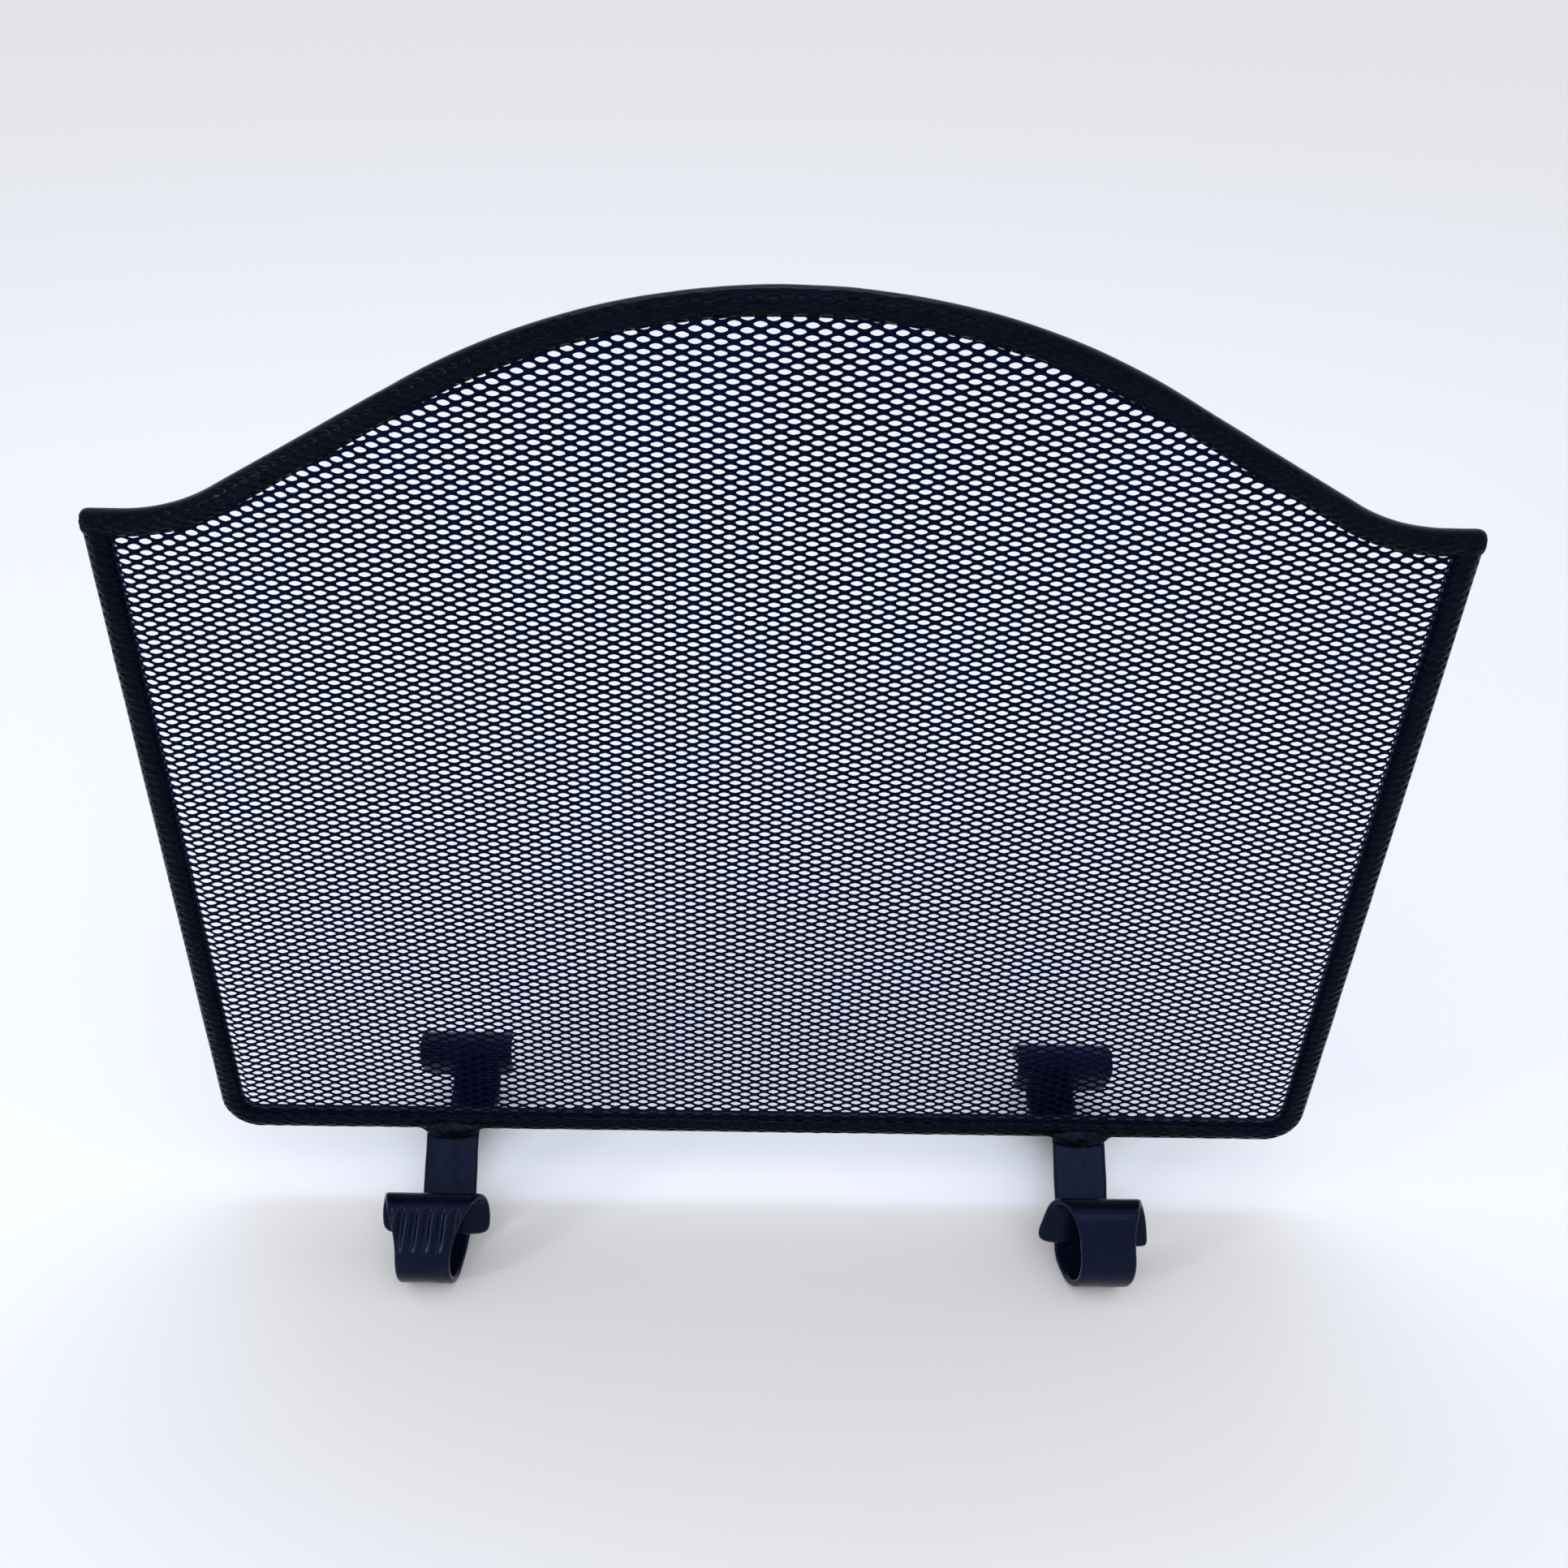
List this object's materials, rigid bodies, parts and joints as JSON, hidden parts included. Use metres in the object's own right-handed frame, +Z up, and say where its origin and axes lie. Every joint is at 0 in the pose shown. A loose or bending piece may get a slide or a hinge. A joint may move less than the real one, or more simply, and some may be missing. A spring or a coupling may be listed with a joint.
{
  "type": "fireplace screen",
  "caption": "Free-standing fireplace screen: arched bar frame wrapped in fine expanded metal mesh, standing on two forged scroll feet, painted black.",
  "frame": {"origin": "on the floor, midway between the four scrolls of the feet, under the middle of the screen", "axes": "+X along the screen to the right as seen from the room, +Y from the room side to the fire side, +Z up"},
  "size_m": [0.588, 0.1694, 0.496],
  "materials": {
    "bar_paint": "satin black paint on round steel bar",
    "mesh_paint": "satin black paint that half fills the folded edges of expanded steel mesh",
    "forged_paint": "satin black paint on hammered steel strap",
    "weld_paint": "satin black paint over lumpy weld"
  },
  "bodies": {
    "root": {"corner_weld_left": "weld_paint", "corner_weld_right": "weld_paint", "foot_left": "forged_paint", "foot_right": "forged_paint", "foot_weld_left": "weld_paint", "foot_weld_right": "weld_paint", "mesh_field": "mesh_paint", "mesh_hem_bottom": "mesh_paint", "mesh_hem_left": "mesh_paint", "mesh_hem_right": "mesh_paint", "mesh_hem_top": "mesh_paint", "side_and_bottom_bar": "bar_paint", "top_bar": "bar_paint"}
  },
  "joints": []
}
